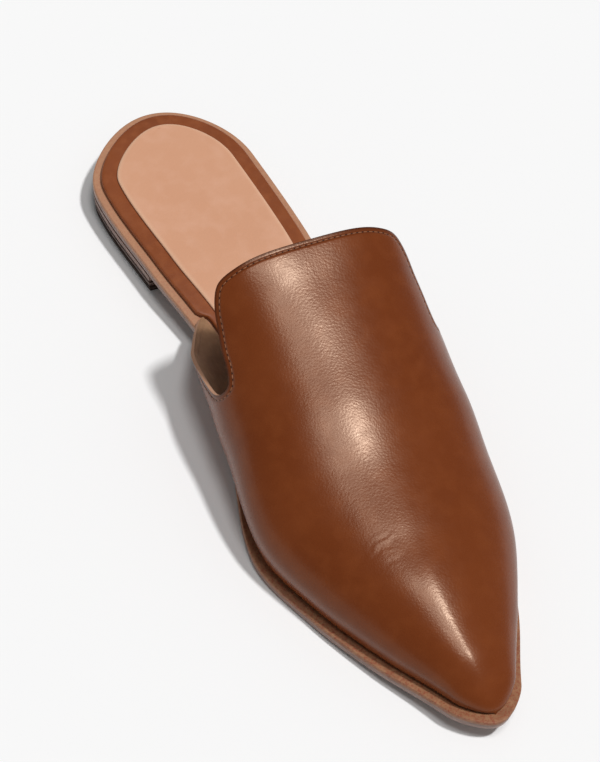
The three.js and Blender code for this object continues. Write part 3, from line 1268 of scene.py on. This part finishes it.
    def _stitch(self, edge: np.ndarray, normals: np.ndarray, tree: BVHTree) -> None:
        """Sews the row of stitches along the free edge.

        Args:
            edge: The free edge's points.
            normals: The leather's outward normals there.
            tree: The outside of the leather, for laying the stitches on it.
        """
        tangents = np.gradient(edge, axis=0)
        tangents /= np.linalg.norm(tangents, axis=1, keepdims=True)
        inward = np.cross(normals, tangents)
        inward *= -np.sign(inward[len(edge) // 2, 1])
        line = [tree.find_nearest(Vector(place) * MM) for place in edge + inward * self.stitch_inset]
        places = np.array([hit[0] for hit in line]) / MM
        run = np.pad(np.cumsum(np.linalg.norm(np.diff(places, axis=0), axis=1)), (1, 0))
        count = int((run[-1] - 2 * self.stitch_margin) / self.stitch_pitch)
        centres = self.stitch_margin + self.stitch_pitch * (np.arange(count) + 0.5)
        half = self.stitch_length / 2
        bm = bmesh.new()
        for centre in centres:
            ends = [self._at(run, places, centre + step) for step in (-half, half)]
            where, normal, _, _ = tree.find_nearest(Vector((ends[0] + ends[1]) / 2) * MM)
            run_on = Vector(ends[1] - ends[0]).normalized()
            side = normal.cross(run_on).normalized()
            turn = Matrix((run_on, side, run_on.cross(side))).transposed()
            size = (half, self.thread / 2, self.thread / 2.6)
            self._bead(bm, where + normal * self.thread_lift * MM, turn, size, 6)
        sewn = len(bm.faces)
        for centre in centres:
            place = self._at(run, places, centre + self.stitch_pitch / 2)
            where, normal, _, _ = tree.find_nearest(Vector(place) * MM)
            turn = normal.to_track_quat("Z", "Y").to_matrix()
            self._bead(bm, where, turn, (self.hole, self.hole, self.hole_depth), 4)
        for number, face in enumerate(bm.faces):
            face.material_index = int(number >= sewn)
        piece = add_object("edge_stitching", bm, THREAD.material(), HOLE.material())
        place_piece(piece, None)

    @staticmethod
    def _bead(
        bm: bmesh.types.BMesh, where: Vector, turn: Matrix, size: tuple[float, float, float], rings: int
    ) -> None:
        """Adds a stretched ball.

        Args:
            bm: The mesh that it is added to.
            where: Its centre, in metres.
            turn: Its three directions.
            size: Its radii along them, in mm.
            rings: Segments from pole to pole.
        """
        scale = Matrix.Diagonal((*size, 1 / MM)) * MM
        placed = Matrix.Translation(where) @ turn.to_4x4() @ scale
        bmesh.ops.create_uvsphere(bm, u_segments=8, v_segments=rings, radius=1, matrix=placed)

    @staticmethod
    def _at(run: np.ndarray, places: np.ndarray, distance: float) -> np.ndarray:
        """The point at a distance along a line of points."""
        return np.array([np.interp(distance, run, places[:, axis]) for axis in range(3)])


# ------------------------------------------------------------------------------ studio
@dataclass(frozen=True)
class Studio:
    """A pale floor, soft light and the camera."""

    eye: tuple[float, float, float] = (-335.1, -492.2, 799.1)
    up: tuple[float, float, float] = (0.2903, 0.7862, 0.5455)
    aim: tuple[float, float, float] = (-4, 4, 18)
    focal: float = 138
    sensor: float = 36
    floor_size: float = 30000
    floor_shade: str = "#f4f4f4"
    surroundings: float = 0.2  # strength of the white world light

    def build(self) -> None:
        """Builds the floor, the lights, the surroundings and the camera."""
        self._floor()
        self._sun("key_light", azimuth=-45, elevation=72, strength=2.05, spread=5)
        self._sun("overhead_softbox", azimuth=-110, elevation=81, strength=0.7, spread=14)
        world = bpy.data.worlds.new("pale_surroundings")
        world.use_nodes = True
        background = world.node_tree.nodes["Background"]
        background.inputs["Color"].default_value = linear("#ffffff")
        background.inputs["Strength"].default_value = self.surroundings
        bpy.context.scene.world = world
        bpy.context.scene.view_settings.view_transform = "Standard"
        self._camera()

    def _floor(self) -> None:
        """Lays the floor."""
        bm = bmesh.new()
        bmesh.ops.create_grid(bm, x_segments=1, y_segments=1, size=self.floor_size / 2 * MM)
        made = bpy.data.materials.new("Matt_white_board")
        made.use_nodes = True
        shader = made.node_tree.nodes["Principled BSDF"]
        shader.inputs["Base Color"].default_value = linear(self.floor_shade)
        shader.inputs["Roughness"].default_value = 0.9
        shader.inputs["Specular IOR Level"].default_value = 0.1
        add_object("floor", bm, made)

    def _sun(self, name: str, azimuth: float, elevation: float, strength: float, spread: float) -> None:
        """Adds a distant soft light.

        Args:
            name: The light's name.
            azimuth: Degrees from +X towards +Y.
            elevation: Degrees above the floor.
            strength: Its strength.
            spread: Its width in degrees.
        """
        light = bpy.data.lights.new(name, "SUN")
        light.energy = strength
        light.angle = math.radians(spread)
        lamp = bpy.data.objects.new(name, light)
        heading = math.radians(azimuth)
        lift = math.radians(elevation)
        level = math.cos(lift)
        back = Vector((math.cos(heading) * level, math.sin(heading) * level, math.sin(lift)))
        lamp.rotation_mode = "QUATERNION"
        lamp.rotation_quaternion = back.to_track_quat("Z", "Y")
        bpy.context.scene.collection.objects.link(lamp)

    def _camera(self) -> None:
        """Sets the camera at its viewpoint, turned to the shoe."""
        lens = bpy.data.cameras.new("camera")
        lens.lens = self.focal
        lens.sensor_width = self.sensor
        lens.clip_end = 100
        camera = bpy.data.objects.new("camera", lens)
        eye = Vector(self.eye) * MM
        back = (eye - Vector(self.aim) * MM).normalized()
        right = Vector(self.up).cross(back).normalized()
        turn = Matrix((right, back.cross(right), back)).transposed().to_4x4()
        camera.matrix_world = Matrix.Translation(eye) @ turn
        bpy.context.scene.collection.objects.link(camera)
        bpy.context.scene.camera = camera


# ------------------------------------------------------------------------------ the shoe
def sole_layers(sole: Sole) -> tuple[SoleLayer, ...]:
    """The layers from the outsole up to the sock.

    Args:
        sole: The outline and heights that they share.

    Returns:
        The layers, from the ground up.
    """
    midsole = 1.5
    insole = 1.8
    outsole = SoleLayer(
        name="leather_outsole",
        node="outsole",
        slot="edge_leather",
        finish=EDGE,
        sole=sole,
        inset=0.3,
        rings=profile(
            (0.5, 0, 0), (0.15, 0.15, 0), (0, 0.5, 0), (0, 1.2, 0), (0, 2.25, 0), (0.1, 2.45, 0),
            (0.35, 2.52, 0), (0.9, 2.52, 0),
        ),
        below_top=sole.forefoot,
    )
    tan = SoleLayer(
        name="tan_midsole",
        node="midsole",
        slot="sole_leather",
        finish=LEDGE,
        sole=sole,
        inset=0,
        rings=profile(
            (0.9, -CONTACT, 0), (0.3, -CONTACT, 0), (0.08, -0.15, 0.2), (0, 0.1, 0.3),
            (0, 1.0, 0.5), (0.07, 1.25, 1), (0.22, 1.42, 1), (0.45, 1.5, 0.7), (0.8, 1.5, 0),
            (1.4, 1.5, 0), (2.4, 1.5, 0),
        ),
        below_top=midsole,
    )
    wrapped = SoleLayer(
        name="wrapped_insole",
        node="insole",
        slot="wrap_leather",
        finish=WRAP,
        sole=sole,
        inset=2.8,
        tuck_inset=5.7,
        rings=profile(
            (0.8, -CONTACT, 0), (0.25, -0.15, 0), (0.02, 0.3, 0), (0, 0.9, 0), (0.12, 1.3, 0),
            (0.38, 1.58, 0), (0.8, 1.74, 0), (1.4, 1.8, 0), (2.4, 1.82, 0),
        ),
        below_top=-CLEARANCE,
    )
    sock = SoleLayer(
        name="leather_sock",
        node="sock_pad",
        slot="sock_leather",
        finish=SOCK,
        sole=sole,
        inset=8.4,
        rings=profile(
            (0.1, -CONTACT, 0), (0, 0, 0.3), (0, 0.35, 1), (0.15, 0.58, 1), (0.5, 0.8, 0.8),
            (1.0, 0.93, 0.3), (1.8, 1.0, 0),
        ),
        below_top=-(CLEARANCE + insole + CLEARANCE),
        front=214,
        dish=0.25,
        spans=24,
    )
    return outsole, tan, wrapped, sock


def main() -> None:
    """Builds the shoe and its studio."""
    logging.basicConfig(level=logging.INFO, format="%(name)s: %(message)s")
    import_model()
    sole = Sole()
    Studio().build()
    StackedHeel(sole).build()
    for layer in sole_layers(sole):
        piece = layer.build()
    Upper(Last(sole)).build()
    log.info("sizes written")


if __name__ == "__main__":
    main()
